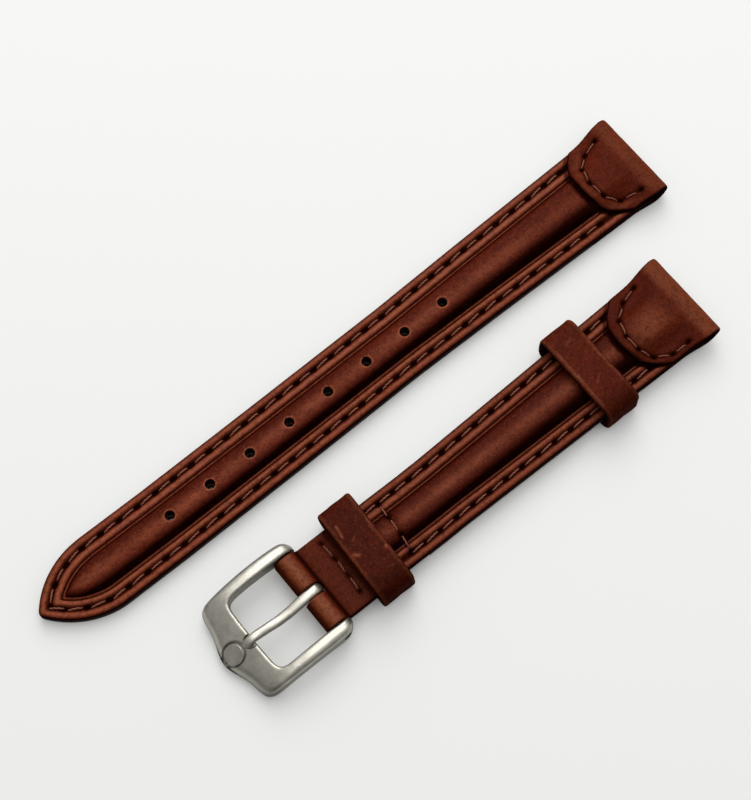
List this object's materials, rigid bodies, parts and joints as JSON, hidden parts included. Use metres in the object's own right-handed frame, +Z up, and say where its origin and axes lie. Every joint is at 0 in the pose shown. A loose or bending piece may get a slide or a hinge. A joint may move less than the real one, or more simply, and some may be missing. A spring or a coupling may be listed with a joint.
{
  "type": "watch strap",
  "caption": "Padded leather watch strap in two halves with stitched lug tabs, a fixed and a sliding loop, and a pin buckle on a spring bar.",
  "frame": {"origin": "under the middle of the two halves as they lie, on the surface that they lie on", "axes": "+X along the strap towards the lug ends, +Y from the buckle half to the holed half, +Z up"},
  "size_m": [0.1092, 0.036, 0.0064],
  "materials": {
    "upper_leather": "satin, burnished",
    "tab_leather": "satin",
    "loop_leather": "satin",
    "fold_leather": "satin",
    "lining_leather": "matte",
    "padding": "felted",
    "stiffener": "matte",
    "thread": "waxed thread",
    "buckle_steel": "bead-blasted satin",
    "badge_steel": "satin",
    "bar_steel": "drawn"
  },
  "bodies": {
    "buckle_side": {"short_upper": "upper_leather", "short_padding": "padding", "short_stiffener": "stiffener", "short_lining": "lining_leather", "short_lug_wrap": "tab_leather", "short_seam_thread": "thread", "short_bobbin_thread": "thread", "short_tab_thread": "thread", "buckle_fold": "fold_leather", "fold_thread": "thread", "cross_thread": "thread", "fixed_loop": "loop_leather"},
    "free_loop": {"free_loop": "loop_leather"},
    "buckle": {"buckle_frame": "buckle_steel", "buckle_badge": "badge_steel", "bar_tube": "bar_steel", "bar_spring": "bar_steel"},
    "tongue": {"tongue": "buckle_steel"},
    "bar_pin_left": {"bar_pin_left": "bar_steel"},
    "bar_pin_right": {"bar_pin_right": "bar_steel"},
    "tail": {"tail_upper": "upper_leather", "tail_padding": "padding", "tail_stiffener": "stiffener", "tail_lining": "lining_leather", "tail_lug_wrap": "tab_leather", "tail_seam_thread": "thread", "tail_bobbin_thread": "thread", "tail_tab_thread": "thread"}
  },
  "joints": [
    {"name": "free_loop_slide", "type": "slide", "parent": "buckle_side", "child": "free_loop", "axis": [1, 0, 0], "range_m": [-0.034, 0.003]},
    {"name": "buckle_hinge", "type": "hinge", "parent": "buckle_side", "child": "buckle", "pos_m": [-0.02403, -0.00995, 0.0029], "axis": [0, 1, 0], "range_deg": [-80, 40]},
    {"name": "tongue_hinge", "type": "hinge", "parent": "buckle", "child": "tongue", "pos_m": [-0.02403, -0.00995, 0.0029], "axis": [0, 1, 0], "range_deg": [0, 60]},
    {"name": "pin_left_slide", "type": "slide", "parent": "buckle", "child": "bar_pin_left", "axis": [0, 1, 0], "range_m": [0, 0.0014], "stiffness_N_per_m": 300, "springref_m": -0.001, "deforming": ["bar_spring"]},
    {"name": "pin_right_slide", "type": "slide", "parent": "buckle", "child": "bar_pin_right", "axis": [0, -1, 0], "range_m": [0, 0.0014], "stiffness_N_per_m": 300, "springref_m": -0.001, "deforming": ["bar_spring"]},
    {"name": "tail_lift", "type": "slide", "parent": "buckle_side", "child": "tail", "axis": [0, 0, 1], "range_m": [0, 0.03]}
  ]
}
